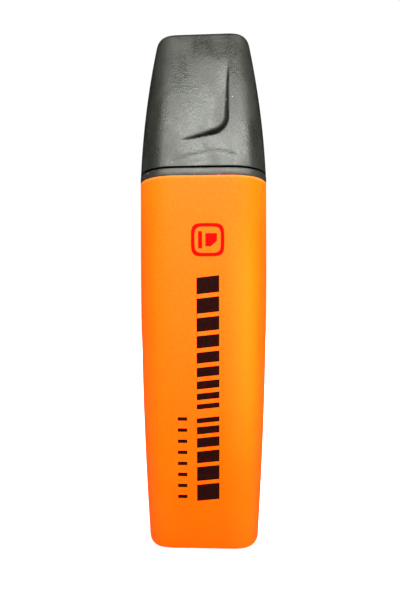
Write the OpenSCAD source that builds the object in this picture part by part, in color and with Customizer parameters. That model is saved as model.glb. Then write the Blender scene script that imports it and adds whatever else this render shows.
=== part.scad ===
// Flat chisel-nib highlighter with a pull-off cap, standing upright on its base.
// Millimetres. +Z runs from the base to the cap and the printed face looks towards -Y.

/* [Body] */
// Height of the closed pen
total_h = 105.2; // [104:0.1:107]
// Width of the pen at the collar
body_w = 27.2; // [26.6:0.1:27.6]
// Thickness of the pen at the collar
body_d = 17; // [16.8:0.1:17.6]
// Width of the flat on the front and back faces
face_w = 14; // [13:0.5:15]
// Share of the thickness that is flat on each side
side_flat = 0.02; // [0.02:0.02:0.2]

/* [Barrel] */
// Height of the barrel, from the base to the collar
barrel_h = 75; // [74.5:0.1:75.5]
// Height above which the barrel's sides run straight
straight_from = 60; // [55:5:60]
// Width of the base
base_w = 23.2; // [22.8:0.1:23.8]
// Thickness of the base
base_d = 13.9; // [13.6:0.1:14.4]
// Radius of the edge round the base
base_edge = 0.6; // [0.4:0.1:1]
// Thickness of the barrel's wall
barrel_wall = 1.4; // [1.2:0.1:1.5]
// Thickness of the barrel's floor
floor_t = 1.6; // [1.2:0.1:2]
// Thickness of the ribs that hold the reservoir
rib_t = 1.2; // [1:0.1:1.5]

/* [Front section] */
// Height of the visible collar band
collar_h = 1.5; // [1.3:0.1:1.7]
// Depth of the plug inside the barrel's mouth
plug_h = 7; // [6:0.5:8]
// Thickness of the front section's walls
front_wall = 1.2; // [1:0.1:1.4]
// Height of the shoulder that the cap's skirt slides over
shoulder_h = 5.8; // [5:0.1:6]
// Height of the straight land that the cap liner seals on
land_h = 3.2; // [3:0.1:3.5]
// Height of the tapered nose above the land
nose_h = 4; // [3.5:0.1:4.5]

/* [Nib] */
// Width of the nib, which is its broad line
nib_w = 5; // [4.5:0.1:5.2]
// Thickness of the nib
nib_t = 3.2; // [3:0.1:3.4]
// Length of nib showing in front of the nose
nib_out = 5.7; // [5:0.1:6]
// Drop of the slanted tip across the nib's width
nib_slant = 2.4; // [2:0.1:3]
// Thickness of the nib at its tip
nib_tip_t = 1.8; // [1.4:0.1:2.2]

/* [Reservoir] */
// Height at which the reservoir stands on its ribs
core_z = 4; // [3.5:0.1:4.5]
// Length of the reservoir
core_h = 60; // [58:1:61]
// Half the distance between the centres of the reservoir's round sides
core_spread = 4.2; // [4:0.1:4.4]
// Radius of the reservoir's round sides
core_r = 4.9; // [4.7:0.1:5]
// Thickness of the film round the reservoir
film_t = 0.2; // [0.15:0.05:0.25]
// Depth that the nib is pushed into the reservoir
nib_in = 5; // [4:0.5:6]

/* [Cap] */
// Width of the cap at its top, before the corners are rounded
cap_top_w = 19.8; // [19.4:0.1:20.4]
// Thickness of the cap at its top
cap_top_d = 11; // [10.6:0.1:11.4]
// Width of the flat on the cap's faces at the top
cap_top_face_w = 12.8; // [12.4:0.1:13]
// Share of the cap's taper that is straight; the rest is curved
cap_straight = 0.36; // [0.3:0.02:0.5]
// Width taken off the cap's top corners
cap_corner_w = 0.9; // [0.6:0.1:1.2]
// Height of the rounding at the cap's top corners
cap_corner_h = 1.5; // [1.4:0.1:2]
// Radius of the edge between the faces and the top
cap_edge = 0.9; // [0.7:0.1:1]
// Thickness of the cap's wall
cap_wall = 1.3; // [1.2:0.1:1.4]
// Thickness of the cap's roof
roof_t = 1.5; // [1.3:0.1:1.7]
// Gap between the cap's lower edge and the collar
cap_gap = 0.3; // [0.2:0.1:0.4]

/* [Thumb recess] */
// Distance of the recess's upright edge from the middle of the face
recess_x = 5.3; // [5:0.1:5.5]
// Height where the upright edge runs out
recess_top_z = 99; // [98:0.5:99.5]
// Height of the lowest point below the recess's corner
recess_corner_z = 82.8; // [82.4:0.1:83.2]
// Distance of the pointed end from the middle of the face, on the other side
recess_toe_x = 4.4; // [4.2:0.1:4.8]
// Height of the pointed end
recess_toe_z = 82; // [81.8:0.1:82.2]
// Radius of the recess's corner
recess_r = 3.8; // [3:0.1:4]
// Depth of the recess at its corner
recess_depth = 1.3; // [1:0.1:1.4]

/* [Cap liner] */
// Thickness of the liner's wall
liner_wall = 0.8; // [0.7:0.05:0.9]
// Clearance between the liner and the front section's land
liner_clear = 0.1; // [0.08:0.01:0.15]

/* [Hidden] */
$fn = 64;
corner_steps = 10;
ring_step = 5;
edge_angles = [0:30:90];

// Clearances: plug in barrel, skirt over shoulder, pieces that only lie against each other
plug_clear = 0.05;
skirt_clear = 0.15;
touch_clear = 0.05;

// Snap bead round the plug and its groove in the barrel's mouth
bead_h = 0.25;
bead_half = 0.5;
groove_extra = 0.05;
bead_below_collar = 3.4;
bead_z = barrel_h - bead_below_collar;

// Heights, from the base up
collar_top_z = barrel_h + collar_h;
cap_z = collar_top_z + cap_gap;
shoulder_top_z = collar_top_z + shoulder_h;
land_top_z = shoulder_top_z + land_h;
nose_top_z = land_top_z + nose_h;
nib_tip_z = nose_top_z + nib_out;
core_top_z = core_z + core_h;
nib_tail_z = core_top_z - nib_in;
roof_z = total_h - roof_t;

// Oval cross-section of the land, the nose and the liner
oval_spread = 3.4;
land_r = 4;
nose_r = 2.6;
liner_low_z = shoulder_top_z + 0.7;
liner_straight_h = 3;
liner_top_z = roof_z - 1.8;
liner_top_r = 3.7;
liner_r = land_r + liner_clear + liner_wall;

// ---- outlines ----------------------------------------------------------------

// One quarter of a rounded rectangle with elliptical corners
function corner(half_w, half_d, flat_w, flat_d) = [
  for (i = [0:corner_steps])
    let (turn = 90 * i / corner_steps)
      [flat_w + (half_w - flat_w) * sin(turn), flat_d + (half_d - flat_d) * cos(turn)]
];

// Closed ring of that outline at a height
function ring(z, half_w, half_d, flat_w) =
  let (
    quarter = corner(half_w, half_d, flat_w, half_d * side_flat),
    back = [for (i = [corner_steps:-1:0]) quarter[i]],
    outline = concat(
      back,
      [for (p = quarter) [-p.x, p.y]],
      [for (p = back) [-p.x, -p.y]],
      [for (p = quarter) [p.x, -p.y]]
    )
  )
    [for (p = outline) [p.x, p.y, z]];

function reversed(list) = [for (i = [len(list) - 1:-1:0]) list[i]];

// Solid skinned over a list of rings, closed by a flat face at each end
module skin(rings) {
  count = len(rings[0]);
  last = count * (len(rings) - 1);
  sides = [
    for (r = [0:len(rings) - 2], i = [0:count - 1])
      let (a = r * count + i, b = r * count + (i + 1) % count)
        each [[a, a + count, b + count], [a, b + count, b]]
  ];
  ends = [
    [for (i = [0:count - 1]) i],
    [for (i = [count - 1:-1:0]) last + i]
  ];
  polyhedron(points = [for (r = rings) each r], faces = concat(sides, ends));
}

// Straight oval bar: two round sides joined by a flat middle
module oval(spread, r, h) {
  linear_extrude(height = h) {
    for (side = [-1, 1]) {
      translate([side * spread, 0]) circle(r = r);
    }
    square([2 * spread, 2 * r], center = true);
  }
}

// Oval bar whose radius changes from r1 to r2
module oval_taper(spread, r1, r2, h) {
  for (side = [-1, 1]) {
    translate([side * spread, 0, 0]) cylinder(h = h, r1 = r1, r2 = r2);
  }
  rotate([90, 0, 90])
    linear_extrude(height = 2 * spread, center = true)
      polygon([[-r1, 0], [r1, 0], [r2, h], [-r2, h]]);
}

// Block centred on the pen's axis between two heights
module block(w, d, z_low, z_high) {
  translate([-w / 2, -d / 2, z_low]) cube([w, d, z_high - z_low]);
}

// ---- barrel ------------------------------------------------------------------

function narrowing(z) = pow(max(0, 1 - z / straight_from), 2);
function barrel_half_w(z) = (body_w - (body_w - base_w) * narrowing(z)) / 2;
function barrel_half_d(z) = (body_d - (body_d - base_d) * narrowing(z)) / 2;
function barrel_ring(z, inset) =
  ring(z, barrel_half_w(z) - inset, barrel_half_d(z) - inset, face_w / 2);

barrel_outside = concat(
  [for (t = edge_angles) barrel_ring(base_edge * (1 - cos(t)), base_edge * (1 - sin(t)))],
  [for (z = [ring_step:ring_step:straight_from]) barrel_ring(z, 0)],
  [barrel_ring(barrel_h, 0)]
);

groove_inset = barrel_wall - bead_h - groove_extra;
barrel_inside = concat(
  [
    barrel_ring(barrel_h, barrel_wall),
    barrel_ring(bead_z + bead_half + bead_h, barrel_wall),
    barrel_ring(bead_z + bead_half, groove_inset),
    barrel_ring(bead_z - bead_half, groove_inset),
    barrel_ring(bead_z - bead_half - bead_h, barrel_wall)
  ],
  [for (z = [straight_from:-2 * ring_step:2 * ring_step]) barrel_ring(z, barrel_wall)],
  [barrel_ring(floor_t, barrel_wall)]
);

rib_top_z = core_top_z - 2;
rib_heights = [for (z = [ring_step:ring_step:straight_from]) z];
rib_face_x = 3.5;

// Upright rib from the middle of the wall to the reservoir, standing on the floor
module reservoir_rib(reach, wall_line) {
  outer = [for (i = [0:len(wall_line) - 1]) [wall_line[i], rib_heights[i]]];
  low = floor_t / 2;
  rotate([90, 0, 0])
    linear_extrude(height = rib_t, center = true)
      polygon(concat(
        [[reach, rib_top_z], [reach, low], [wall_line[0] - barrel_wall, low]],
        outer,
        [[wall_line[len(wall_line) - 1], rib_top_z]]
      ));
}

module barrel() {
  side_line = [for (z = rib_heights) barrel_half_w(z) - barrel_wall / 2];
  face_line = [for (z = rib_heights) barrel_half_d(z) - barrel_wall / 2];
  film_r = core_r + film_t + touch_clear;
  color("orange") {
    skin(concat(barrel_outside, barrel_inside));
    for (side = [0, 180]) {
      rotate(side) reservoir_rib(core_spread + film_r, side_line);
      for (x = [-rib_face_x, rib_face_x]) {
        rotate(side) translate([x, 0, 0]) rotate(90) reservoir_rib(film_r, face_line);
      }
    }
    block(base_w / 2, rib_t, floor_t / 2, core_z);
    block(rib_t, base_d / 2, floor_t / 2, core_z);
  }
}

// ---- cap outline, shared by the cap and the shoulder under it ------------------

function cap_taper(z) =
  let (u = max(0, (z - cap_z) / (total_h - cap_z)))
    cap_straight * u + (1 - cap_straight) * u * u;
function round_in(z, size_in, size_up) =
  let (up = max(0, 1 - (total_h - z) / size_up))
    size_in * (1 - sqrt(1 - min(1, up * up)));
cap_low_half_w = body_w / 2 - 0.05;
cap_low_half_d = body_d / 2 - 0.05;
function cap_half_w(z) = cap_low_half_w - (cap_low_half_w - cap_top_w / 2) * cap_taper(z);
function cap_half_d(z) = cap_low_half_d - (cap_low_half_d - cap_top_d / 2) * cap_taper(z);
function cap_flat(z) = (face_w - (face_w - cap_top_face_w) * cap_taper(z)) / 2;
function cap_ring(z, inset) = ring(z, cap_half_w(z) - inset, cap_half_d(z) - inset, cap_flat(z));
function cap_top_ring(z) =
  ring(
    z,
    cap_half_w(z) - round_in(z, cap_corner_w, cap_corner_h),
    cap_half_d(z) - round_in(z, cap_edge, cap_edge),
    cap_flat(z) - round_in(z, cap_edge, cap_edge)
  );

// ---- front section -------------------------------------------------------------

collar_edge = 0.12;
shoulder_edge = 0.3;
ridge_h = 0.08;
ridge_z = collar_top_z + 3;
guide_wall = 1.1;
guide_low_z = core_top_z + 2;

function plug_ring(z, out) = barrel_ring(z, barrel_wall + plug_clear - out);
function shoulder_ring(z, out) = cap_ring(z, cap_wall + skirt_clear - out);

front_outside = concat(
  [
    plug_ring(barrel_h - plug_h, -front_wall / 3),
    plug_ring(barrel_h - plug_h + 0.8, 0),
    plug_ring(bead_z - bead_half, 0),
    plug_ring(bead_z - bead_half + bead_h, bead_h),
    plug_ring(bead_z + bead_half - bead_h, bead_h),
    plug_ring(bead_z + bead_half, 0),
    plug_ring(barrel_h, 0)
  ],
  [
    barrel_ring(barrel_h, collar_edge),
    barrel_ring(barrel_h + collar_edge, 0),
    barrel_ring(collar_top_z - collar_edge, 0),
    barrel_ring(collar_top_z, collar_edge)
  ],
  [
    shoulder_ring(collar_top_z, 0),
    shoulder_ring(ridge_z - 0.4, 0),
    shoulder_ring(ridge_z, ridge_h),
    shoulder_ring(ridge_z + 0.4, 0),
    shoulder_ring(shoulder_top_z - shoulder_edge, 0),
    shoulder_ring(shoulder_top_z, -shoulder_edge)
  ]
);

front_inside = [
  plug_ring(barrel_h - plug_h - 1, -front_wall),
  plug_ring(barrel_h, -front_wall),
  shoulder_ring(collar_top_z, -front_wall),
  shoulder_ring(shoulder_top_z - front_wall, -front_wall)
];

module front_section() {
  color([0.20, 0.20, 0.19])
    difference() {
      union() {
        difference() {
          skin(front_outside);
          skin(front_inside);
        }
        block(nib_w + 2 * guide_wall, nib_t + 2 * guide_wall, guide_low_z, shoulder_top_z - 0.5);
        translate([0, 0, shoulder_top_z - 0.5]) oval(oval_spread, land_r, land_h + 0.5);
        translate([0, 0, land_top_z]) oval_taper(oval_spread, land_r, nose_r, nose_h);
      }
      block(nib_w + 2 * touch_clear, nib_t + 2 * touch_clear, guide_low_z - 1, nose_top_z + 1);
    }
}

// ---- nib and reservoir ---------------------------------------------------------

module nib() {
  half_w = nib_w / 2;
  half_t = nib_t / 2;
  half_tip = nib_tip_t / 2;
  wedge_z = nose_top_z + 1;
  color([0.96, 0.45, 0.08])
    intersection() {
      rotate([90, 0, 0])
        linear_extrude(height = 2 * nib_t, center = true)
          polygon([
            [-half_w, nib_tail_z],
            [half_w, nib_tail_z],
            [half_w, nib_tip_z - nib_slant],
            [half_w - 0.5, nib_tip_z - nib_slant + 0.1],
            [-half_w + 0.6, nib_tip_z],
            [-half_w, nib_tip_z - 0.5]
          ]);
      rotate([90, 0, 90])
        linear_extrude(height = 2 * nib_w, center = true)
          polygon([
            [-half_t, nib_tail_z],
            [half_t, nib_tail_z],
            [half_t, wedge_z],
            [half_tip, nib_tip_z],
            [-half_tip, nib_tip_z],
            [-half_t, wedge_z]
          ]);
    }
}

module reservoir_core() {
  color([1, 0.62, 0.25])
    difference() {
      translate([0, 0, core_z]) oval(core_spread, core_r - 0.02, core_h);
      block(nib_w + 2 * touch_clear, nib_t + 2 * touch_clear, nib_tail_z - touch_clear, core_top_z + 1);
    }
}

module reservoir_film() {
  color([0.97, 0.85, 0.7])
    difference() {
      translate([0, 0, core_z]) oval(core_spread, core_r + film_t, core_h);
      translate([0, 0, core_z - 1]) oval(core_spread, core_r, core_h + 2);
    }
}

// ---- cap -----------------------------------------------------------------------

cap_lip = 0.25;
cap_outside = concat(
  [cap_ring(cap_z, cap_lip), cap_ring(cap_z + cap_lip, 0)],
  [for (z = [ceil(cap_z) + 1:3:total_h - cap_corner_h]) cap_ring(z, 0)],
  [for (t = [0:15:45]) cap_top_ring(total_h - cap_corner_h * (1 - sin(t)))],
  [for (t = [45:15:90]) cap_top_ring(total_h - cap_edge * (1 - sin(t)))]
);
function cap_inside(inset) = concat(
  [cap_ring(cap_z, inset)],
  [for (z = [cap_z + 3:4:roof_z - 2]) cap_ring(z, inset)],
  [cap_ring(roof_z - 0.6, inset), cap_ring(roof_z, inset + 0.6)]
);

// The cap's front face at a height, as its y
function face_y(z) = -cap_half_d(z);

// The recess's floor: a plane through the top of the upright edge, the pointed end
// and a point below the face at the corner
floor_top_y = face_y(recess_top_z);
floor_z_slope =
  (face_y(recess_corner_z) + recess_depth - floor_top_y) / (recess_corner_z - recess_top_z);
floor_x_slope =
  (face_y(recess_toe_z) - floor_top_y - floor_z_slope * (recess_toe_z - recess_top_z))
  / (-recess_toe_x - recess_x);
function floor_y(x, z) =
  floor_top_y + floor_x_slope * (x - recess_x) + floor_z_slope * (z - recess_top_z);

// The recess's edge from the pointed end, round the corner and up
toe_angle = 10;
recess_turn = 90 - toe_angle;
recess_edge = concat(
  [[-recess_toe_x, recess_toe_z]],
  [
    for (i = [0:6])
      let (t = -90 + toe_angle + recess_turn * i / 6)
        [recess_x - recess_r * (1 - cos(t)), recess_corner_z + 0.4 + recess_r * (1 + sin(t))]
  ],
  [[recess_x, recess_top_z + 1]]
);
recess_far_x = -20;

// Tool that cuts the recess: sloping walls along the edge, open towards the other side.
// drop moves it into the cap.
module recess_tool(drop) {
  count = len(recess_edge);
  inward = [
    for (i = [0:count - 1])
      let (
        before = recess_edge[max(0, i - 1)],
        after = recess_edge[min(count - 1, i + 1)],
        run = after - before
      )
        [-run.y, run.x] / norm(run)
  ];
  deep = [
    for (i = [0:count - 1])
      let (
        e = recess_edge[i],
        d = max(0, floor_y(e.x, e.y) - face_y(e.y)),
        p = e + inward[i] * d
      )
        [p.x, floor_y(p.x, p.y) + drop, p.y]
  ];
  open = [
    for (i = [0:count - 1])
      let (e = recess_edge[i], p = e - inward[i] * 2)
        [p.x, face_y(e.y) - 2 + drop, p.y]
  ];
  far = [
    for (z = [recess_top_z + 1, recess_toe_z])
      [recess_far_x, floor_y(recess_far_x, z) + drop, z]
  ];
  skin([
    concat(deep, far),
    concat(open, [for (p = far) [p.x, p.y - 4, p.z]])
  ]);
}

// Rib that steadies the liner from the side wall of the cap
module liner_rib() {
  low_z = liner_low_z + 1;
  high_z = liner_top_z - 2;
  bend_z = liner_low_z + liner_straight_h;
  slope = (liner_r - liner_top_r) / (liner_top_z - bend_z);
  inner = oval_spread + liner_r + touch_clear;
  wall_line = [for (z = [low_z, bend_z, (bend_z + high_z) / 2, high_z]) [cap_half_w(z) - cap_wall / 2, z]];
  rotate([90, 0, 0])
    linear_extrude(height = rib_t, center = true)
      polygon(concat(
        wall_line,
        [[inner - slope * (high_z - bend_z), high_z], [inner, bend_z], [inner, low_z]]
      ));
}

module cap_shell() {
  color([0.30, 0.30, 0.29])
    difference() {
      union() {
        skin(concat(reversed(cap_inside(cap_wall)), cap_outside));
        for (side = [0, 180]) {
          rotate(side) liner_rib();
          rotate(side)
            intersection() {
              skin(cap_inside(cap_wall - 0.4));
              recess_tool(cap_wall);
            }
        }
      }
      for (side = [0, 180]) {
        rotate(side) recess_tool(0);
      }
    }
}

module cap_liner() {
  bend_z = liner_low_z + liner_straight_h;
  taper_h = liner_top_z - bend_z;
  color([0.42, 0.42, 0.41])
    difference() {
      union() {
        translate([0, 0, liner_low_z]) oval(oval_spread, liner_r, liner_straight_h);
        translate([0, 0, bend_z]) oval_taper(oval_spread, liner_r, liner_top_r, taper_h);
        translate([0, 0, liner_top_z]) oval(oval_spread, liner_top_r / 2, roof_z - liner_top_z);
      }
      translate([0, 0, liner_low_z - 1])
        oval(oval_spread, liner_r - liner_wall, liner_straight_h + 1);
      translate([0, 0, bend_z])
        oval_taper(oval_spread, liner_r - liner_wall, liner_top_r - liner_wall, taper_h - liner_wall);
    }
}

barrel();
front_section();
nib();
reservoir_core();
reservoir_film();
cap_shell();
cap_liner();
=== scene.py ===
# Flat highlighter with a pull-off cap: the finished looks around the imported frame.
# Shapes are written in millimetres and turned into metres when a mesh is made.

import math

import bmesh
import bpy
import numpy as np
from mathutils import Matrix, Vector


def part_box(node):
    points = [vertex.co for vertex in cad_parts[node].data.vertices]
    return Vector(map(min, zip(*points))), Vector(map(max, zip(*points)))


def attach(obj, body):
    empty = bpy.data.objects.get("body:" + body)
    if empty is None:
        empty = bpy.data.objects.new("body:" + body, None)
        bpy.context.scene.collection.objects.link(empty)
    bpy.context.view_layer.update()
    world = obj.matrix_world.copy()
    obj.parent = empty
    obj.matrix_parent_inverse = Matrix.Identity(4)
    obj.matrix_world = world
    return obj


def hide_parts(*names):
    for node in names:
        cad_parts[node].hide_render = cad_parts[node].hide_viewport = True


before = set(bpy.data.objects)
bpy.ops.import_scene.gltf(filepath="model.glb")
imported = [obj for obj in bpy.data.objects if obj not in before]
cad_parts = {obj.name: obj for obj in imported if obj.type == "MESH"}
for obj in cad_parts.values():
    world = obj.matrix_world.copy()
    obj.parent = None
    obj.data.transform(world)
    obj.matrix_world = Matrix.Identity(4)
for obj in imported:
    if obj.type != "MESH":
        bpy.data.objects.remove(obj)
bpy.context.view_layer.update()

MM = 0.001


def box_mm(node):
    low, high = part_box(node)
    return [v / MM for v in low], [v / MM for v in high]


_, barrel_high = box_mm("barrel")
front_low, front_high = box_mm("front_section")
nib_low, nib_high = box_mm("nib")
cap_low, cap_high = box_mm("cap_shell")
liner_low, liner_high = box_mm("cap_liner")
film_low, film_high = box_mm("reservoir_film")

# ---- sizes ---------------------------------------------------------------------

# Body, shared by the barrel, the collar and the cap's lower edge. A section is flat out to
# CORE_HALF and cut evenly out to FACE_HALF. The powers say how boxy it is: the higher, the
# longer its faces stay nearly flat before they curve away.
HALF_W = barrel_high[0]
HALF_D = barrel_high[1]
FACE_HALF = 7.0
CORE_HALF = 4.0
POWER_MIDDLE = 2.8
POWER_BASE = 4.3
POWER_CAP_TOP = 3.9
BARREL_TOP = barrel_high[2]
STRAIGHT_FROM = 60.0
BASE_HALF_W = 11.6
BASE_HALF_D = 6.92
BASE_EDGE = 0.6
MOUTH_EDGE = 0.08
BARREL_WALL = 1.4
FLOOR_T = 1.6

# Inner ribs of the barrel and the cap
RIB_HALF_T = 0.6
RIB_GAP = 0.05
FACE_RIB_X = 3.5

# Front section
COLLAR_TOP = BARREL_TOP + 1.5
COLLAR_EDGE = 0.12
PLUG_LOW = front_low[2]
PLUG_CLEAR = 0.05
PLUG_LEAD_IN = 0.4
PLUG_LEAD_H = 0.8
BEAD = 0.25
BEAD_Z = BARREL_TOP - 3.4
BEAD_HALF_H = 0.5
FRONT_WALL = 1.2
SHOULDER_TOP = COLLAR_TOP + 5.8
SHOULDER_EDGE = 0.3
SKIRT_CLEAR = 0.15
RIDGE = 0.08
RIDGE_Z = COLLAR_TOP + 3.0
RIDGE_HALF_H = 0.4
NOSE_TOP = front_high[2]
LAND_TOP = NOSE_TOP - 4.0
OVAL_SPREAD = 3.4
OVAL_END_FLAT = 0.04
LAND_R = 4.0
LAND_GROOVE = 0.2
NOSE_R = 2.6
NOSE_EDGE = 0.25
GUIDE_LOW = 66.0
GUIDE_WALL = 1.1
HOLE_GAP = 0.05
HOLE_EDGE = 0.15

# Nib
NIB_HALF_W = nib_high[0]
NIB_HALF_T = nib_high[1]
NIB_TAIL = nib_low[2]
NIB_TIP = nib_high[2]
NIB_SLANT = 2.4
NIB_TIP_HALF_T = 0.9
NIB_WEDGE = NOSE_TOP + 1.0
NIB_CORNER = 0.35
NIB_SIDE_GAP = 0.02
NIB_END_EDGE = 0.3
NIB_FUZZ = 0.015

# Cap. CAP_STRAIGHT is the share of its narrowing that is straight; the rest is curved.
CAP_LOW = cap_low[2]
CAP_TOP = cap_high[2]
CAP_SET_IN = 0.05
CAP_HALF_W = HALF_W - CAP_SET_IN
CAP_HALF_D = HALF_D - CAP_SET_IN
CAP_TOP_HALF_W = 9.88
CAP_TOP_HALF_D = 5.5
CAP_TOP_FACE_HALF = 6.4
CAP_STRAIGHT = 0.355
CAP_CORNER_W = 0.9
CAP_CORNER_H = 1.1
CAP_TILT = 0.011
CAP_TILT_FROM = 98.0
CAP_EDGE = 0.9
CAP_LIP = 0.15
CAP_WALL = 1.3
ROOF_T = 1.5
ROOF = CAP_TOP - ROOF_T

# Thumb recess on each face of the cap: an upright edge, a round corner and a lower leg
RECESS_X = 5.35
RECESS_R = 3.85
RECESS_CENTRE = (RECESS_X - RECESS_R, 86.9)
RECESS_SLOPE = math.radians(10)
RECESS_TOP = 98.6
RECESS_LOW = 82.8
RECESS_LEFT = -4.35
RECESS_DEPTH = 1.25
RECESS_BULGE = 0.14
RECESS_LEG_RUN = 1.8
RECESS_FILLET = 0.3

# Sink mark: a shallow step under a tent-shaped line, low on each face of the cap
SINK_X = 2.5
SINK_Z = 80.8
SINK_FALL = 0.13
SINK_POWER = 1.25
SINK_STEP = 1.3
SINK_BACK = 2.0
SINK_MIDDLE = 0.5
SINK_REACH = 8.0
SINK_FADE = 2.5
SINK_DEPTH = 0.11

# Prints on the barrel's front face: an emblem, two stretches of bars and a row of ticks
INK_SUNK = 0.03
INK_PROUD = 0.025
EMBLEM = (1.02, 62.2)
EMBLEM_R = 3.3
EMBLEM_BEND = 0.45
EMBLEM_STROKE = 0.7
BAR_X = 1.04
BAR_HALF_W = 2.25
BAR_SLANT = 0.5
BAR_THICK = 3.3
BAR_THIN = 1.0
UPPER_BARS = (55.2, 28.5)
LOWER_BARS = (27.2, 10.0)
TICKS = (26.6, 10.9)
TICK_X = -4.08
TICK_HALF_W = 0.95
TICK_HALF_T = 0.35

# How finely each piece's rings are cut: along a side, round a corner and across a face.
# The cap's rings are FINE apart in height over the zone that holds the recess.
BARREL_CUTS = (3, 18, 16)
FRONT_CUTS = (2, 16, 12)
NIB_CUTS = (3, 5, 10)
CAP_CUTS = (4, 14, 74)
FINE = 0.2
RECESS_ZONE = (81.0, 99.6)


# ---- outlines ------------------------------------------------------------------

def section_y(x, half_w, half_d, power):
    """Half depth of the body at x: a flat core whose sides curve away ever faster."""
    out = np.clip((np.abs(x) - CORE_HALF) / (half_w - CORE_HALF), 0, 1)
    return half_d * np.sqrt(1 - out ** power)


def barrel_size(z):
    """Half width, half depth and power of the barrel's section at a height."""
    narrowing = max(0.0, 1 - z / STRAIGHT_FROM) ** 2
    return (
        HALF_W - (HALF_W - BASE_HALF_W) * narrowing,
        HALF_D - (HALF_D - BASE_HALF_D) * narrowing,
        POWER_MIDDLE + (POWER_BASE - POWER_MIDDLE) * narrowing,
    )


def cap_taper(z):
    """How far the cap has narrowed at a height: 0 at its lower edge and 1 at its top."""
    u = np.maximum(0, (z - CAP_LOW) / (CAP_TOP - CAP_LOW))
    return CAP_STRAIGHT * u + (1 - CAP_STRAIGHT) * u * u


def cap_half_w(z):
    return CAP_HALF_W - (CAP_HALF_W - CAP_TOP_HALF_W) * cap_taper(z)


def cap_half_d(z):
    return CAP_HALF_D - (CAP_HALF_D - CAP_TOP_HALF_D) * cap_taper(z)


def cap_flat(z):
    return FACE_HALF - (FACE_HALF - CAP_TOP_FACE_HALF) * cap_taper(z)


def cap_power(z):
    return POWER_MIDDLE + (POWER_CAP_TOP - POWER_MIDDLE) * cap_taper(z)


def half_section(half_w, half_d, flat_w, power, cuts):
    """Front half of a body section, from its +X side round the front to its -X side.

    Cuts are counts of pieces: along a straight side, round a corner and across a face.
    """
    side, corner, face = cuts
    start = ((flat_w - CORE_HALF) / (half_w - CORE_HALF)) ** (power / 2)
    turn = np.linspace(math.pi / 2, math.asin(start), side + corner, endpoint=False)
    right_x = CORE_HALF + (half_w - CORE_HALF) * np.sin(turn) ** (2 / power)
    face_x = np.linspace(flat_w, -flat_w, face + 1)
    x = np.concatenate([right_x, face_x, -right_x[:0:-1]])
    return x, -section_y(x, half_w, half_d, power)


def half_ring(half_w, half_d, flat_w, flat_d, cuts):
    """Front half of a rounded rectangle, from its +X side round the front to its -X side."""
    side, corner, face = cuts
    turn = np.linspace(0, math.pi / 2, corner, endpoint=False)
    right_x = np.concatenate([np.full(side, half_w), flat_w + (half_w - flat_w) * np.cos(turn)])
    right_y = np.concatenate([
        np.linspace(0, flat_d, side, endpoint=False),
        flat_d + (half_d - flat_d) * np.sin(turn),
    ])
    face_x = np.linspace(flat_w, -flat_w, face + 1)
    x = np.concatenate([right_x, face_x, -right_x[:0:-1]])
    y = np.concatenate([right_y, np.full(face + 1, half_d), right_y[:0:-1]])
    return x, -y


def whole_ring(z, x, y):
    """Closed ring: its front half, and the same half turned round for the back."""
    x = np.concatenate([x, -x])
    y = np.concatenate([y, -y])
    return np.stack([x, y, np.full_like(x, z)], axis=1)


def body_ring(z, half_w, half_d, flat_w, power, cuts):
    return whole_ring(z, *half_section(half_w, half_d, flat_w, power, cuts))


def ring(z, half_w, half_d, flat_w, flat_d, cuts):
    return whole_ring(z, *half_ring(half_w, half_d, flat_w, flat_d, cuts))


def round_over(start, stop, steps):
    """(sine, 1 - cosine) pairs of a quarter turn, for rounding an edge."""
    turns = np.linspace(math.radians(start), math.radians(stop), steps)
    return [(math.sin(t), 1 - math.cos(t)) for t in turns]


# ---- meshes --------------------------------------------------------------------

def loft(rings, endless=False):
    """Points and faces of a closed skin over rings of equal length."""
    count = len(rings[0])
    last = len(rings) if endless else len(rings) - 1
    faces = []
    for r in range(last):
        low, high = r * count, (r + 1) % len(rings) * count
        for i in range(count):
            j = (i + 1) % count
            faces.append((low + i, low + j, high + j, high + i))
    if not endless:
        faces.append(tuple(range(count)))
        faces.append(tuple(range(last * count, (last + 1) * count)))
    return np.concatenate(rings), faces


def prism(outline, front_y, back_y):
    """Flat plate with the outline's (x, z) points, between two depths."""
    count = len(outline)
    points = [(x, front_y, z) for x, z in outline] + [(x, back_y, z) for x, z in outline]
    faces = [(i, (i + 1) % count, (i + 1) % count + count, i + count) for i in range(count)]
    faces.append(tuple(range(count)))
    faces.append(tuple(range(count, 2 * count)))
    return np.array(points), faces


def joined(parts):
    """One list of points and faces from several."""
    points, faces, start = [], [], 0
    for part_points, part_faces in parts:
        points.append(part_points)
        faces.extend(tuple(start + i for i in face) for face in part_faces)
        start += len(part_points)
    return np.concatenate(points), faces


def piece(name, shape, body, material, sharp_above=40):
    """Smooth mesh of one material that rides on a body."""
    points, faces = shape
    mesh = bpy.data.meshes.new(name)
    mesh.from_pydata((points * MM).tolist(), [], faces)
    work = bmesh.new()
    work.from_mesh(mesh)
    bmesh.ops.recalc_face_normals(work, faces=work.faces)
    bmesh.ops.triangulate(work, faces=[f for f in work.faces if len(f.verts) > 4])
    work.to_mesh(mesh)
    work.free()
    mesh.polygons.foreach_set("use_smooth", [True] * len(mesh.polygons))
    mesh.set_sharp_from_angle(angle=math.radians(sharp_above))
    mesh.materials.append(material)
    made = bpy.data.objects.new(name, mesh)
    bpy.context.scene.collection.objects.link(made)
    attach(made, body)
    return made


# ---- materials -----------------------------------------------------------------

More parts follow.
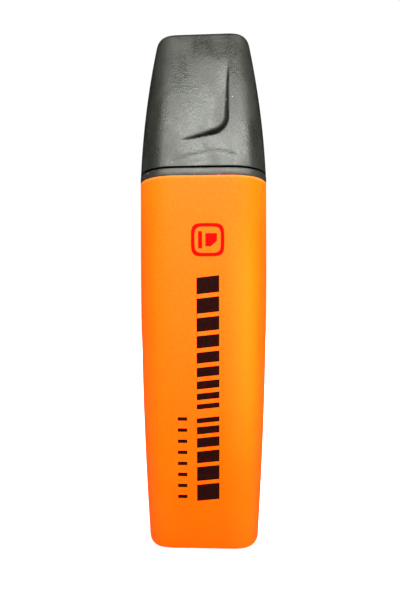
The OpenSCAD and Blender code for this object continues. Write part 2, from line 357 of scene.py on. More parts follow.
class Finish:
    """A node material in the making. Pattern sizes are in millimetres."""

    def __init__(self, name, colour, roughness, specular=0.5):
        self.material = bpy.data.materials.new(name)
        self.material.use_nodes = True
        self.tree = self.material.node_tree
        self.shader = self.tree.nodes["Principled BSDF"]
        self.shader.inputs["Base Color"].default_value = (*colour, 1)
        self.shader.inputs["Roughness"].default_value = roughness
        self.shader.inputs["Specular IOR Level"].default_value = specular
        self.place = self.node("ShaderNodeTexCoord").outputs["Object"]

    def node(self, kind, **settings):
        made = self.tree.nodes.new(kind)
        for key, value in settings.items():
            setattr(made, key, value)
        return made

    def link(self, source, target):
        self.tree.links.new(source, target)

    def stretched(self, stretch):
        mapping = self.node("ShaderNodeMapping")
        mapping.inputs["Scale"].default_value = stretch
        self.link(self.place, mapping.inputs["Vector"])
        return mapping.outputs["Vector"]

    def noise(self, size, detail=3.0, stretch=(1, 1, 1), distortion=0.0):
        made = self.node("ShaderNodeTexNoise")
        made.inputs["Scale"].default_value = 1 / (size * MM)
        made.inputs["Detail"].default_value = detail
        made.inputs["Distortion"].default_value = distortion
        self.link(self.stretched(stretch), made.inputs["Vector"])
        return made.outputs["Fac"]

    def spots(self, spacing, radius, share):
        """1 inside a few round spots, and 0 elsewhere."""
        cells = self.node("ShaderNodeTexVoronoi")
        cells.inputs["Scale"].default_value = 1 / (spacing * MM)
        self.link(self.place, cells.inputs["Vector"])
        near = self.maths("LESS_THAN", cells.outputs["Distance"], radius / spacing)
        chosen = self.maths("LESS_THAN", self.red(cells.outputs["Color"]), share)
        return self.maths("MULTIPLY", near, chosen)

    def red(self, colour):
        split = self.node("ShaderNodeSeparateColor")
        self.link(colour, split.inputs["Color"])
        return split.outputs["Red"]

    def axis(self, name):
        split = self.node("ShaderNodeSeparateXYZ")
        self.link(self.place, split.inputs["Vector"])
        return split.outputs[name]

    def maths(self, operation, a, b=None):
        made = self.node("ShaderNodeMath", operation=operation)
        for socket, value in zip(made.inputs, (a, b)):
            if isinstance(value, (int, float)):
                socket.default_value = value
            elif value is not None:
                self.link(value, socket)
        return made.outputs["Value"]

    def span(self, value, low, high, to_low, to_high, smooth=True):
        """Value's range low..high mapped to to_low..to_high, and held beyond it."""
        made = self.node("ShaderNodeMapRange")
        made.interpolation_type = "SMOOTHSTEP" if smooth else "LINEAR"
        for name, number in (
            ("From Min", low), ("From Max", high), ("To Min", to_low), ("To Max", to_high)
        ):
            made.inputs[name].default_value = number
        self.link(value, made.inputs["Value"])
        return made.outputs["Result"]

    def span_mm(self, value, low, high, to_low, to_high):
        """Like span, for a place: its low and high are in millimetres."""
        return self.span(value, low * MM, high * MM, to_low, to_high)

    def ramp(self, value, stops):
        made = self.node("ShaderNodeValToRGB")
        points = made.color_ramp.elements
        while len(points) < len(stops):
            points.new(0.5)
        for point, (place, colour) in zip(points, stops):
            point.position = place
            point.color = (*colour, 1)
        self.link(value, made.inputs["Fac"])
        return made.outputs["Color"]

    def mix(self, factor, a, b, blend="MIX"):
        made = self.node("ShaderNodeMix", data_type="RGBA", blend_type=blend)
        sockets = [s for s in made.inputs if s.type == "RGBA"]
        for socket, value in zip(sockets, (a, b)):
            if isinstance(value, tuple):
                socket.default_value = (*value, 1)
            else:
                self.link(value, socket)
        self.link(factor, made.inputs["Factor"])
        return next(s for s in made.outputs if s.type == "RGBA")

    def colour(self, socket):
        self.link(socket, self.shader.inputs["Base Color"])

    def roughness(self, socket):
        self.link(socket, self.shader.inputs["Roughness"])

    def bump(self, *layers):
        """Layers are (height socket, depth in millimetres)."""
        normal = None
        for height, depth in layers:
            made = self.node("ShaderNodeBump")
            made.inputs["Strength"].default_value = 1.0
            made.inputs["Distance"].default_value = depth * MM
            self.link(height, made.inputs["Height"])
            if normal is not None:
                self.link(normal, made.inputs["Normal"])
            normal = made.outputs["Normal"]
        self.link(normal, self.shader.inputs["Normal"])


def orange_plastic():
    """Orange plastic with painted light and shade: deeper towards its base and sides, and a
    lighter band where it seems to glow.
    """
    made = Finish("barrel_orange_plastic", (0.9, 0.10, 0.004), 0.34, 0.015)
    up, across = made.axis("Z"), made.axis("X")
    out = made.maths("ABSOLUTE", across)
    # Painted light: paler and lighter towards the mouth, deeper towards the base, as if lit from
    # above
    body = made.ramp(made.span(up, 0.0, BARREL_TOP * MM, 0.0, 1.0, smooth=False), [
        (0.0, (1.0, 0.070, 0.0)),
        (0.28, (1.0, 0.085, 0.0)),
        (0.6, (1.0, 0.106, 0.0045)),
        (1.0, (1.0, 0.128, 0.0090)),
    ])

    # Faint clouds and a fine grain
    cloud = made.span(made.noise(9.0, 2.0), 0.3, 0.7, 0.0, 0.08)
    body = made.mix(cloud, body, (1.0, 0.16, 0.008))
    grain = made.span(made.noise(0.45, 3.0), 0.3, 0.7, 0.0, 0.28)
    body = made.mix(grain, body, (1.0, 0.05, 0.0))

    # Painted light: a lighter band up the +X side of the face, strongest at mid height
    band = made.maths(
        "MULTIPLY",
        made.span_mm(across, 3.5, 9.0, 0.0, 0.5),
        made.span_mm(across, 9.6, 12.8, 1.0, 0.0),
    )
    painted_light_band_height = made.maths(
        "MULTIPLY",
        made.span_mm(up, 10, 40, 0.25, 1.0),
        made.span_mm(up, 55, 72, 1.0, 0.15),
    )
    body = made.mix(made.maths("MULTIPLY", band, painted_light_band_height), body, (1.0, 0.175, 0.012))

    # Painted shade: purer and then redder towards both sides, less so near the mouth
    body = made.mix(made.span_mm(out, 4.5, 11.5, 0.0, 1.0), body, (1.0, 1.0, 0.25), "MULTIPLY")
    turned = made.maths(
        "MULTIPLY",
        made.span_mm(out, 8.5, 13.4, 0.0, 0.35),
        made.span_mm(up, STRAIGHT_FROM, BARREL_TOP - 1, 1.0, 0.25),
    )
    body = made.mix(turned, body, (0.95, 0.035, 0.0))

    # Painted highlight: a pale line along the mouth's edge
    painted_rim_highlight = made.span_mm(up, BARREL_TOP - 0.7, BARREL_TOP - 0.05, 0.0, 0.4)
    made.colour(made.mix(painted_rim_highlight, body, (1.0, 0.26, 0.06)))
    made.roughness(made.span(made.noise(2.5, 3.0), 0.3, 0.7, 0.30, 0.38))
    made.bump((made.noise(0.28, 2.0), 0.006), (made.noise(4.0, 2.0), 0.03))
    made.shader.inputs["Subsurface Weight"].default_value = 0.15
    made.shader.inputs["Subsurface Radius"].default_value = (1.0, 0.35, 0.05)
    made.shader.inputs["Subsurface Scale"].default_value = 1.5 * MM
    return made.material


def dark_plastic(name, base, rough, dust, painted_gap_shade, shade=None):
    """Satin near-black plastic with a fine spark texture, faint rubbed patches and dust.

    Rough is the lowest and highest roughness, and dust is (spacing, radius, share). The painted
    gap shade is painted shade, black where the part sits in a gap against the next part: it fades
    in between the first two heights and out between the last two. Shade names a mesh attribute
    that is 1 where painted shade makes the surface black too.
    """
    dust_colour, painted_shade_colour = (0.42, 0.43, 0.38), (0.0008, 0.0008, 0.0006)
    made = Finish(name, base, 0.4)
    rubbed = made.noise(4.5, 3.0, stretch=(1, 1, 0.6), distortion=0.3)
    grain = made.noise(0.24, 2.0)
    tint = made.ramp(rubbed, [
        (0.3, tuple(0.8 * c for c in base)),
        (0.7, tuple(1.3 * c for c in base)),
    ])
    tint = made.mix(made.maths("MULTIPLY", made.spots(*dust), 0.7), tint, dust_colour)
    fade_in, black, black_end, fade_out = painted_gap_shade
    # Painted shade: black in the gap against the next part, and wherever the shade attribute asks
    # for it
    dark = made.maths(
        "MULTIPLY",
        made.span_mm(made.axis("Z"), fade_in, black, 0.0, 0.85),
        made.span_mm(made.axis("Z"), black_end, fade_out, 1.0, 0.0),
    )
    if shade:
        stored = made.node("ShaderNodeAttribute", attribute_name=shade)
        dark = made.maths("MAXIMUM", dark, stored.outputs["Fac"])
    made.colour(made.mix(dark, tint, painted_shade_colour))
    patchy = made.span(rubbed, 0.3, 0.7, *rough)
    made.roughness(made.maths("ADD", patchy, made.span(grain, 0.25, 0.75, -0.08, 0.08)))
    made.bump((grain, 0.032), (made.noise(0.5, 2.0), 0.014), (made.noise(1.6, 2.0), 0.035))
    return made.material


def felt(name, colour, size, stretch):
    made = Finish(name, colour, 0.9, 0.2)
    fibres = made.noise(size, 4.0, stretch=stretch)
    made.colour(made.ramp(fibres, [
        (0.3, tuple(0.7 * c for c in colour)),
        (0.7, tuple(min(1.0, 1.2 * c) for c in colour)),
    ]))
    made.bump((fibres, 0.08), (made.noise(0.25, 3.0), 0.03))
    return made.material


def clear_film():
    made = Finish("film_clear_plastic", (1.0, 0.75, 0.5), 0.15)
    wrinkles = made.noise(3.0, 3.0, stretch=(1, 1, 0.3))
    made.colour(made.ramp(wrinkles, [(0.3, (1.0, 0.70, 0.42)), (0.7, (1.0, 0.82, 0.60))]))
    made.bump((wrinkles, 0.08))
    made.shader.inputs["Transmission Weight"].default_value = 0.7
    return made.material


def grey_plastic():
    made = Finish("liner_grey_plastic", (0.08, 0.08, 0.078), 0.5)
    mottle = made.noise(2.0, 3.0)
    made.colour(made.ramp(mottle, [(0.3, (0.06, 0.06, 0.058)), (0.7, (0.10, 0.10, 0.096))]))
    made.roughness(made.span(mottle, 0.3, 0.7, 0.45, 0.6))
    made.bump((made.noise(0.3, 2.0), 0.01))
    return made.material


def ink(name, colour, thin):
    """Printed ink with a faint uneven laydown."""
    made = Finish(name, colour, 0.45, 0.015)
    laydown = made.noise(0.5, 3.0)
    made.colour(made.ramp(laydown, [(0.25, thin), (0.6, colour)]))
    made.roughness(made.span(laydown, 0.3, 0.7, 0.38, 0.55))
    made.bump((made.noise(0.3, 2.0), 0.004))
    return made.material


# ---- barrel --------------------------------------------------------------------

def barrel_ring(z, inset=0.0, cuts=BARREL_CUTS):
    half_w, half_d, power = barrel_size(z)
    return body_ring(z, half_w - inset, half_d - inset, FACE_HALF, power, cuts)


def barrel_shape():
    outside = [
        barrel_ring(BASE_EDGE * up, BASE_EDGE * (1 - side))
        for side, up in round_over(0, 90, 8)
    ]
    outside += [barrel_ring(z) for z in np.arange(2.0, BARREL_TOP - 1, 1.5)]
    outside += [
        barrel_ring(BARREL_TOP - MOUTH_EDGE * (1 - side), MOUTH_EDGE * up)
        for side, up in round_over(0, 90, 4)
    ]
    inside = [
        barrel_ring(z, BARREL_WALL)
        for z in np.linspace(BARREL_TOP, FLOOR_T, 30)
    ]
    return loft(outside + inside)


# ---- front section -------------------------------------------------------------

def plug_ring(z, out=0.0):
    """Ring that fits the barrel's bore, moved outwards by out."""
    return barrel_ring(z, BARREL_WALL + PLUG_CLEAR - out, FRONT_CUTS)


def shoulder_ring(z, out=0.0):
    """Ring that fits inside the cap's skirt, moved outwards by out."""
    inset = CAP_WALL + SKIRT_CLEAR - out
    half_w, half_d = cap_half_w(z) - inset, cap_half_d(z) - inset
    return body_ring(z, half_w, half_d, cap_flat(z), cap_power(z), FRONT_CUTS)


def oval_ring(z, r):
    """Oval whose ends have the radius r."""
    return ring(z, OVAL_SPREAD + r, r, OVAL_SPREAD, OVAL_END_FLAT, FRONT_CUTS)


def hole_ring(z, gap):
    """Rectangle round the nib."""
    corner = 0.2
    half_w, half_t = NIB_HALF_W + gap, NIB_HALF_T + gap
    return ring(z, half_w, half_t, half_w - corner, half_t - corner, FRONT_CUTS)


def plug_rings():
    """Tapered lead-in, then the snap bead, up to the collar."""
    return [
        plug_ring(PLUG_LOW, -PLUG_LEAD_IN),
        plug_ring(PLUG_LOW + PLUG_LEAD_H),
        plug_ring(BEAD_Z - BEAD_HALF_H),
        plug_ring(BEAD_Z - BEAD_HALF_H / 2, BEAD),
        plug_ring(BEAD_Z + BEAD_HALF_H / 2, BEAD),
        plug_ring(BEAD_Z + BEAD_HALF_H),
        plug_ring(BARREL_TOP),
    ]


def collar_rings():
    lower = [
        barrel_ring(BARREL_TOP + COLLAR_EDGE * up, COLLAR_EDGE * (1 - side), FRONT_CUTS)
        for side, up in round_over(0, 90, 3)
    ]
    upper = [
        barrel_ring(COLLAR_TOP - COLLAR_EDGE * (1 - side), COLLAR_EDGE * up, FRONT_CUTS)
        for side, up in round_over(0, 90, 3)
    ]
    return lower + upper


def shoulder_rings():
    """The shoulder that the cap's skirt slides over, with its snap ridge and rounded top."""
    ridge = [
        shoulder_ring(RIDGE_Z + RIDGE_HALF_H * t, RIDGE * (1 - t * t))
        for t in np.linspace(-1, 1, 5)
    ]
    edge = [
        shoulder_ring(SHOULDER_TOP - SHOULDER_EDGE * (1 - side), -SHOULDER_EDGE * up)
        for side, up in round_over(0, 90, 5)
    ]
    return [shoulder_ring(COLLAR_TOP)] + ridge + edge


def nose_rings():
    """The oval land that the liner seals on, a groove at its foot, and the nose above it."""
    groove = [
        oval_ring(SHOULDER_TOP + LAND_GROOVE * (1 - side), LAND_R + LAND_GROOVE * (1 - up))
        for side, up in round_over(0, 90, 4)
    ]
    land = [oval_ring(z, LAND_R) for z in (SHOULDER_TOP + 1, LAND_TOP - 0.2)]
    narrowing = (NOSE_R - LAND_R) / (NOSE_TOP - LAND_TOP)
    nose = [
        oval_ring(z, LAND_R + narrowing * (z - LAND_TOP))
        for z in np.linspace(LAND_TOP, NOSE_TOP - NOSE_EDGE, 6)
    ]
    edge = [oval_ring(NOSE_TOP - 0.07, NOSE_R - 0.1), oval_ring(NOSE_TOP, NOSE_R - NOSE_EDGE)]
    return groove + land + nose + edge


def guide_rings():
    """Down the hole that holds the nib, and up the outside of its guide."""
    mouth = [hole_ring(NOSE_TOP, HOLE_GAP + HOLE_EDGE), hole_ring(NOSE_TOP - HOLE_EDGE, HOLE_GAP)]
    hole = [hole_ring(z, HOLE_GAP) for z in np.linspace(NOSE_TOP - 2, GUIDE_LOW, 8)]
    outside = [
        hole_ring(z, GUIDE_WALL) for z in (GUIDE_LOW, COLLAR_TOP, SHOULDER_TOP - FRONT_WALL)
    ]
    return mouth + hole + outside


def inner_rings():
    """Back down the inside of the shoulder and the plug."""
    return [
        shoulder_ring(SHOULDER_TOP - FRONT_WALL, -FRONT_WALL),
        shoulder_ring(COLLAR_TOP, -FRONT_WALL),
        plug_ring(BARREL_TOP, -FRONT_WALL),
        plug_ring(PLUG_LOW, -FRONT_WALL),
    ]


def front_shape():
    outside = plug_rings() + collar_rings() + shoulder_rings() + nose_rings()
    return loft(outside + guide_rings() + inner_rings(), endless=True)


# ---- nib -----------------------------------------------------------------------

def nib_ring(share, inset):
    """Ring at a share of the way from the tail to the slanted tip."""
    wedge = (NIB_WEDGE - NIB_TAIL) / (NIB_TIP - NIB_TAIL)
    thin = max(0.0, (share - wedge) / (1 - wedge))
    half_t = NIB_HALF_T + (NIB_TIP_HALF_T - NIB_HALF_T) * thin - inset
    half_w = NIB_HALF_W - NIB_SIDE_GAP - inset
    points = ring(0, half_w, half_t, half_w - NIB_CORNER, half_t - NIB_CORNER, NIB_CUTS)
    drop = NIB_SLANT * (points[:, 0] + NIB_HALF_W) / (2 * NIB_HALF_W) * thin
    points[:, 2] = NIB_TAIL + (NIB_TIP - NIB_TAIL) * share - drop
    return points


def nib_shape():
    """Felt bar with a rounded tip, slightly fuzzy where it stands out of the nose."""
    rounded_from = 0.985
    rings = [nib_ring(0, NIB_END_EDGE), nib_ring(0.01, 0.05)]
    rings += [nib_ring(share, 0) for share in np.linspace(0.03, 0.84, 20)]
    rings += [nib_ring(share, 0) for share in np.linspace(0.86, rounded_from, 12)]
    rings += [
        nib_ring(rounded_from + (1 - rounded_from) * side, NIB_END_EDGE * up)
        for side, up in round_over(15, 90, 5)
    ]
    points, faces = loft(rings)
    fuzz = np.random.default_rng(7).normal(0, NIB_FUZZ, (len(points), 2))
    points[:, :2] += fuzz * (points[:, 2:] > NOSE_TOP)
    return points, faces


# ---- cap -----------------------------------------------------------------------

def smooth_max(value, width):
    """The greater of value and 0, with the corner rounded over the width."""
    bend = (value + width) ** 2 / (4 * width)
    return np.where(value < -width, 0, np.where(value > width, value, bend))


def smooth_min(a, b, width):
    """The lesser of a and b, with the corner rounded over the width."""
    near = np.maximum(width - np.abs(a - b), 0) / width
    return np.minimum(a, b) - near * near * width / 4


def recess_side(x, z):
    """Distance inside the recess's edge, and the way out to that edge."""
    centre_x, centre_z = RECESS_CENTRE
    out_x, out_z = math.sin(RECESS_SLOPE), -math.cos(RECESS_SLOPE)
    dx, dz = x - centre_x, z - centre_z
    upright = RECESS_R - dx
    lower = RECESS_R - (dx * out_x + dz * out_z)
    reach = np.hypot(dx, dz) + 1e-9
    in_corner = (dz < 0) & (dx * math.cos(RECESS_SLOPE) + dz * math.sin(RECESS_SLOPE) > 0)
    inside = np.where(in_corner, RECESS_R - reach, np.minimum(upright, lower))
    by_upright = upright < lower
    way_x = np.where(in_corner, dx / reach, np.where(by_upright, 1.0, out_x))
    way_z = np.where(in_corner, dz / reach, np.where(by_upright, 0.0, out_z))
    return inside, way_x, way_z


def recess_parts(x, z):
    """Depths that the recess's floor and its wall would have alone, and which edge it is.

    The floor falls from its top and from its left edge. The wall stands at 45 degrees on the
    upright edge, where leg is 0, and is less steep on the lower leg, where leg is nearly 1.
    """
    inside, _, way_z = recess_side(x, z)
    leg = np.abs(way_z)
    down = np.clip((RECESS_TOP - z) / (RECESS_TOP - RECESS_LOW), -1, 1.2)
    across = (x - RECESS_LEFT) / (RECESS_X - RECESS_LEFT)
    fall = RECESS_DEPTH * down + RECESS_BULGE * 4 * down * (1 - down)
    floor = smooth_max(fall, 0.15) * smooth_max(across, 0.06)
    wall = smooth_max(inside / (1 + (RECESS_LEG_RUN - 1) * leg), 0.04)
    return floor, wall, leg


def recess_depth(x, z):
    floor, wall, _ = recess_parts(x, z)
    return np.maximum(0, smooth_min(wall, floor, RECESS_FILLET)) * (floor > 0)


def recess_shade(points):
    """Painted shade on the recess's wall, for each point: most at its outer edge and lower leg.
    """
    side = -np.sign(points[:, 1])
    floor, wall, leg = recess_parts(points[:, 0] * side, points[:, 2])
    within = (wall > 0.02) & (floor > 0.02)
    share = wall / np.maximum(floor, 0.05)
    fade = np.clip((1.1 - share) / (0.95 - 0.6 * leg), 0, 1)
    return np.where(within, fade * (0.85 + 0.15 * leg), 0)


def smooth_step(value):
    value = np.clip(value, 0, 1)
    return value * value * (3 - 2 * value)


def sink_depth(x, z):
    """A step that faces down under the tent line, then a slow return to the face."""
    below = SINK_Z - SINK_FALL * np.abs(x - SINK_X) ** SINK_POWER - z
    rise = smooth_step(below / SINK_STEP) - smooth_step((below - SINK_STEP) / SINK_BACK)
    ends = np.clip((SINK_REACH - np.abs(x - SINK_MIDDLE)) / SINK_FADE, 0, 1)
    return SINK_DEPTH * rise * ends


def cap_ring(z, inset=0.0, corner_in=0.0, edge_in=0.0, recess=True):
    """Ring of the cap, with the recess and the sink mark pressed into both faces."""
    half_w = cap_half_w(z) - inset - corner_in
    half_d = cap_half_d(z) - inset - edge_in
    flat_w = cap_flat(z) - edge_in
    x, y = half_section(half_w, half_d, flat_w, cap_power(z), CAP_CUTS)
    height = np.full_like(x, z)
    if recess:
        side, corner, face = CAP_CUTS
        on_face = slice(side + corner + 1, side + corner + face)
        fx, fz = x[on_face], height[on_face]
        inside, way_x, way_z = recess_side(fx, fz)
        snap = (np.abs(inside) < 0.4 * FINE) & (fx > RECESS_LEFT) & (fz < RECESS_TOP)
        fx = fx + np.where(snap, inside * way_x, 0)
        fz = fz + np.where(snap, inside * way_z, 0)
        x[on_face], height[on_face] = fx, fz
        half_w = cap_half_w(fz) - inset - corner_in
        half_d = cap_half_d(fz) - inset - edge_in
        outer = section_y(fx, half_w, half_d, cap_power(fz))
        y[on_face] = recess_depth(fx, fz) + sink_depth(fx, fz) - outer
    front = np.stack([x, y, height], axis=1)
    return np.concatenate([front, front * (-1, -1, 1)])


def rounding(z, size_in, size_up):
    """How far in a quarter-ellipse rounding of the cap's top is, at a height."""
    up = max(0.0, 1 - (CAP_TOP - z) / size_up)
    return size_in * (1 - math.sqrt(1 - min(1.0, up * up)))


def tilted(points):
    """The cap's points with its top edge sloping up towards +X."""
    share = np.clip((points[:, 2] - CAP_TILT_FROM) / (CAP_TOP - CAP_TILT_FROM), 0, 1)
    points[:, 2] += CAP_TILT * points[:, 0] * share
    return points


def cap_shape():
    """From the roof down the inside, round the lower lip and up the outside to the top."""
    roof_corner = 0.6
    inside = [cap_ring(ROOF, CAP_WALL + roof_corner, recess=False)]
    inside += [cap_ring(z, CAP_WALL) for z in np.linspace(ROOF - roof_corner, CAP_LOW, 90)]
    lip = [
        cap_ring(CAP_LOW + CAP_LIP * up, CAP_LIP * (1 - side), recess=False)
        for side, up in round_over(0, 90, 5)
    ]
    fine_low, fine_high = RECESS_ZONE
    walls = [cap_ring(z) for z in np.arange(CAP_LOW + 0.5, fine_low, 0.25)]
    walls += [cap_ring(z) for z in np.arange(fine_low, fine_high, FINE)]
    walls += [cap_ring(z) for z in np.arange(fine_high, CAP_TOP - CAP_CORNER_H, 2 * FINE)]
    corner_z = [CAP_TOP - CAP_CORNER_H * up for up in np.linspace(1, 0.28, 10)]
    edge_z = [CAP_TOP - CAP_EDGE * (1 - side) for side, _ in round_over(8, 90, 10)]
    top = [
        cap_ring(
            z,
            corner_in=rounding(z, CAP_CORNER_W, CAP_CORNER_H),
            edge_in=rounding(z, CAP_EDGE, CAP_EDGE),
            recess=False,
        )
        for z in corner_z + edge_z
    ]
    points, faces = loft(inside + lip + walls + top)
    return tilted(points), faces


# ---- ribs inside the barrel and the cap ----------------------------------------

def plate(outline, middle=0.0, on_face=False):
    """Upright plate with (reach, height) points, its reach along X, or along Y on a face."""
    points, faces = prism(outline, middle - RIB_HALF_T, middle + RIB_HALF_T)
    return (points[:, [1, 0, 2]] if on_face else points), faces


def ribs(wall, inner, middle=0.0, on_face=False):
    """Plates from an inner line out to the wall's line, on both sides of the axis."""
    return [
        plate([(side * reach, z) for reach, z in wall + inner[::-1]], middle, on_face)
        for side in (-1, 1)
    ]


def barrel_rib_shape():
    """Ribs that hold the reservoir upright, and the low cross that it stands on."""
    low, stand, high = FLOOR_T / 2, film_low[2], film_high[2] - 2
    heights = [low, 5.0, 15.0, 25.0, 35.0, 45.0, STRAIGHT_FROM, high]
    side_wall = [(barrel_size(z)[0] - BARREL_WALL / 2, z) for z in heights]
    face_wall = [(barrel_size(z)[1] - BARREL_WALL / 2, z) for z in heights]
    side_film = [(film_high[0] + RIB_GAP, z) for z in (low, high)]
    face_film = [(film_high[1] + RIB_GAP, z) for z in (low, high)]
    parts = ribs(side_wall, side_film)
    for x in (-FACE_RIB_X, FACE_RIB_X):
        parts += ribs(face_wall, face_film, x, True)
    for reach, on_face in ((BASE_HALF_W / 2, False), (BASE_HALF_D / 2, True)):
        cross = [(-reach, low), (reach, low), (reach, stand), (-reach, stand)]
        parts.append(plate(cross, 0.0, on_face))
    return joined(parts)


def cap_rib_shape():
    """Two ribs that steady the liner from the cap's side walls, narrower above a bend."""
    low, bend, high = liner_low[2] + 1, liner_low[2] + 3, liner_high[2] - 3.8
    inner, taper = liner_high[0] + RIB_GAP, 0.93
    wall = [(cap_half_w(z) - CAP_WALL / 2, z) for z in np.linspace(low, high, 5)]
    return joined(ribs(wall, [(inner, low), (inner, bend), (inner - taper, high)]))


# ---- prints on the barrel ------------------------------------------------------

def face_y(x, z):
    return -section_y(x, *barrel_size(z))


def printed(outline):
    """A thin plate on the barrel's front face, which follows the face's taper."""
    points, faces = prism(outline, 0, 0)
    count = len(outline)
    for i, point in enumerate(points):
        lift = INK_PROUD if i < count else -INK_SUNK
        point[1] = face_y(point[0], point[2]) - lift
    return points, faces


def rectangle(left, right, low, high):
    return [(left, low), (right, low), (right, high), (left, high)]


def squared(value):
    """A sine or cosine bent so that the circle it draws becomes a rounded square."""
    return math.copysign(abs(value) ** EMBLEM_BEND, value)


def printed_frame(centre, r_out, r_in, steps=72):
    """Rounded square band, made as a closed loop of four-cornered sections."""
    corners = (
        (r_out, INK_PROUD), (r_in, INK_PROUD), (r_in, -INK_SUNK), (r_out, -INK_SUNK),
    )
    sections = []
    for t in np.linspace(0, 2 * math.pi, steps, endpoint=False):
        section = []
        for r, lift in corners:
            x, z = centre[0] + r * squared(math.cos(t)), centre[1] + r * squared(math.sin(t))
            section.append((x, face_y(x, z) - lift, z))
        sections.append(np.array(section))
    return loft(sections, endless=True)


def emblem_shape():
    """A rounded square round a marker's chisel tip and the line that it draws."""
    x, z = EMBLEM
    band = printed_frame(EMBLEM, EMBLEM_R, EMBLEM_R - EMBLEM_STROKE)
    line = rectangle(x - 1.9, x - 1.1, z - 1.7, z + 1.7)
    tip = [
        (x - 0.45, z - 1.3), (x + 0.65, z - 1.3), (x + 1.85, z - 0.2),
        (x + 1.85, z + 1.3), (x - 0.45, z + 1.3),
    ]
    return joined([band, printed(tip), printed(line)])


def slanted_bar(z_high, thick):
    left, right = BAR_X - BAR_HALF_W, BAR_X + BAR_HALF_W
    return [
        (left, z_high - BAR_SLANT - thick), (right, z_high - thick),
        (right, z_high), (left, z_high - BAR_SLANT),
    ]


def scale_bars(z_high, z_low, first, last, count):
    """Bars from one thickness to another that fill a stretch with equal gaps."""
    thick = np.linspace(first, last, count)
    gap = (z_high - z_low - BAR_SLANT - thick.sum()) / (count - 1)
    bars, z = [], z_high
    for t in thick:
        bars.append(printed(slanted_bar(z, t)))
        z -= t + gap
    return bars


def tick(z):
    return printed(rectangle(
        TICK_X - TICK_HALF_W, TICK_X + TICK_HALF_W, z - TICK_HALF_T, z + TICK_HALF_T
    ))


def line_scale_shape():
    """Line widths that thin out and thicken again down the face, and a row of ticks."""
    thinning = scale_bars(*UPPER_BARS, BAR_THICK, BAR_THIN, 9)
    thickening = scale_bars(*LOWER_BARS, BAR_THIN, BAR_THICK, 6)
    ticks = [tick(z) for z in np.linspace(*TICKS, 8)]
    return joined(thinning + thickening + ticks)


# ---- the pen -------------------------------------------------------------------

barrel_finish = orange_plastic()
barrel = piece("barrel_shell", barrel_shape(), "pen", barrel_finish)
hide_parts("barrel")
piece("barrel_ribs", barrel_rib_shape(), "pen", barrel_finish)

front_finish = dark_plastic(
    "front_black_plastic",
    (0.026, 0.023, 0.018),
    rough=(0.36, 0.48),
    dust=(0.8, 0.12, 0.10),
    # Painted shade on the shoulder's foot, in the gap under the cap's lip
    painted_gap_shade=(COLLAR_TOP - 0.1, COLLAR_TOP + 0.05, COLLAR_TOP + 0.9, COLLAR_TOP + 1.8),
)
front = piece("front_section_body", front_shape(), "pen", front_finish)
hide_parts("front_section")

nib_finish = felt("nib_orange_felt", (0.95, 0.20, 0.012), 0.5, (1, 1, 0.25))
nib = piece("nib_felt_wedge", nib_shape(), "pen", nib_finish, sharp_above=60)
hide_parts("nib")

cap_finish = dark_plastic(
    "cap_dark_grey_plastic",
    (0.020, 0.0205, 0.0165),
    rough=(0.27, 0.47),
    dust=(1.2, 0.10, 0.06),
    # Painted shade along the cap's lower lip, over the gap at the collar
    painted_gap_shade=(CAP_LOW + 0.2, CAP_LOW + 0.02, CAP_LOW - 1, CAP_LOW - 2),
    shade="recess_shade",
)
cap_skin = cap_shape()
cap = piece("cap_shell_body", cap_skin, "cap", cap_finish, sharp_above=60)
# Painted shade in the thumb recesses, stored on the mesh for the cap's material
shade = cap.data.attributes.new("recess_shade", "FLOAT", "POINT")
shade.data.foreach_set("value", recess_shade(cap_skin[0]))
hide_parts("cap_shell")
piece("cap_ribs", cap_rib_shape(), "cap", cap_finish)

emblem_ink = ink("print_red_ink", (0.86, 0.0, 0.0), (0.88, 0.002, 0.001))
piece("emblem_print", emblem_shape(), "pen", emblem_ink)

scale_ink = ink("print_dark_ink", (0.008, 0.001, 0.001), (0.018, 0.003, 0.001))
piece("line_scale_print", line_scale_shape(), "pen", scale_ink)

carried_over = {
    "reservoir_core": felt("reservoir_fibre_bundle", (0.95, 0.35, 0.08), 0.4, (1, 1, 0.08)),
    "reservoir_film": clear_film(),
    "cap_liner": grey_plastic(),
}
for node, finish in carried_over.items():
    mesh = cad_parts[node].data
    mesh.materials.clear()
    mesh.materials.append(finish)


# ---- floor, light and camera ---------------------------------------------------

SOFTBOX_DISTANCE = 0.45


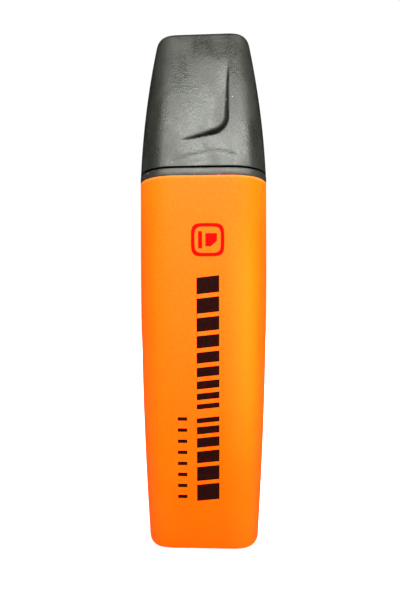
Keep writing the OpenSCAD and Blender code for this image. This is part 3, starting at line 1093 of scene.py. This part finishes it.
def floor():
    """White floor, 8 m square, which reflections don't see."""
    mesh = bpy.data.meshes.new("floor")
    reach = 4.0
    mesh.from_pydata(
        [(-reach, -reach, 0), (reach, -reach, 0), (reach, reach, 0), (-reach, reach, 0)],
        [], [(0, 1, 2, 3)],
    )
    made = bpy.data.objects.new("floor", mesh)
    bpy.context.scene.collection.objects.link(made)
    finish = Finish("floor_white", (0.98, 0.98, 0.98), 0.9, 0.0)
    mottle = finish.noise(60.0, 2.0)
    finish.colour(finish.ramp(mottle, [(0.3, (0.97, 0.97, 0.97)), (0.7, (0.985, 0.985, 0.985))]))
    mesh.materials.append(finish.material)
    made.visible_glossy = False


def softbox(name, azimuth, elevation, size, radiance, shows):
    """Area light on the pen; azimuth 0 is in front of it and 90 to its right.

    Its size is in metres. It shows either in "diffuse" or in "gloss", so that each can be
    balanced by itself.
    """
    width, height = size
    a, e = math.radians(azimuth), math.radians(elevation)
    away = Vector((math.sin(a) * math.cos(e), -math.cos(a) * math.cos(e), math.sin(e)))
    light = bpy.data.lights.new(name, "AREA")
    light.shape = "RECTANGLE"
    light.size = width
    light.size_y = height
    light.energy = radiance * math.pi * width * height
    made = bpy.data.objects.new(name, light)
    made.location = Vector((0, 0, CAP_TOP / 2 * MM)) + away * SOFTBOX_DISTANCE
    made.rotation_euler = away.to_track_quat("Z", "Y").to_euler()
    made.visible_camera = False
    made.visible_glossy = shows == "gloss"
    made.visible_diffuse = shows == "diffuse"
    bpy.context.scene.collection.objects.link(made)
    return light


def surroundings(level):
    """Even white light all round, which reflections don't see."""
    world = bpy.data.worlds.new("studio")
    bpy.context.scene.world = world
    world.use_nodes = True
    background = world.node_tree.nodes["Background"]
    background.inputs["Color"].default_value = (1, 1, 1, 1)
    background.inputs["Strength"].default_value = level
    world.cycles_visibility.glossy = False


def camera():
    """Camera close in front of the pen's middle, a touch to its right and turned left."""
    roll, turn = 0.0023, 0.0317
    data = bpy.data.cameras.new("camera")
    data.sensor_width = 36.0
    data.lens = 24.28
    data.clip_start = 5 * MM
    made = bpy.data.objects.new("camera", data)
    made.location = (2.02 * MM, -88.48 * MM, 50.29 * MM)
    made.rotation_euler = (math.radians(90), roll, turn)
    bpy.context.scene.collection.objects.link(made)
    bpy.context.scene.camera = made


floor()
softbox("key", 20, 32, (0.40, 0.30), 9.0, "diffuse")
gloss = softbox("key_gloss", 8, 28.5, (0.80, 0.20), 12.5, "gloss")
gloss.color = (0.965, 1.0, 0.92)
softbox("back", 195, 32, (0.40, 0.30), 9.0, "diffuse")
surroundings(1.03)
camera()
bpy.context.scene.view_settings.view_transform = "Standard"
